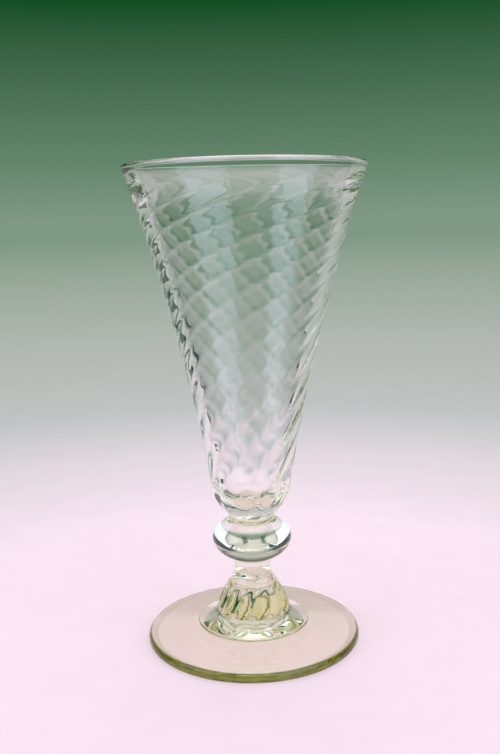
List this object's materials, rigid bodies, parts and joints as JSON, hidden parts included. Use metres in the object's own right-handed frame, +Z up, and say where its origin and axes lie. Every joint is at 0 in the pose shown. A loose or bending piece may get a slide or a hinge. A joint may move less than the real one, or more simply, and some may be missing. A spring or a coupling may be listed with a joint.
{
  "type": "ale glass",
  "caption": "Small footed drinking glass with a tall flared conical bowl of twisted ribs, a round knop, a ribbed pedestal and a plain disc foot.",
  "frame": {"origin": "centre of the foot, on the surface that the glass stands on", "axes": "+Z up along the axis of the glass; X and Y are alike apart from where the ribs start"},
  "size_m": [0.0688, 0.0688, 0.14],
  "materials": {
    "bowl_glass": "clear, fire-polished, with twisted mould ribs and a few seeds",
    "thick_glass": "clear, fire-polished, faintly olive where it is thick",
    "foot_glass": "clear, with a worn ring underneath and an olive edge",
    "snapped_glass": "rough, snapped"
  },
  "bodies": {
    "root": {"foot": "foot_glass", "pontil_scar": "snapped_glass", "pedestal": "thick_glass", "stem": "thick_glass", "knop": "thick_glass", "collar": "thick_glass", "bowl": "bowl_glass"}
  },
  "joints": []
}
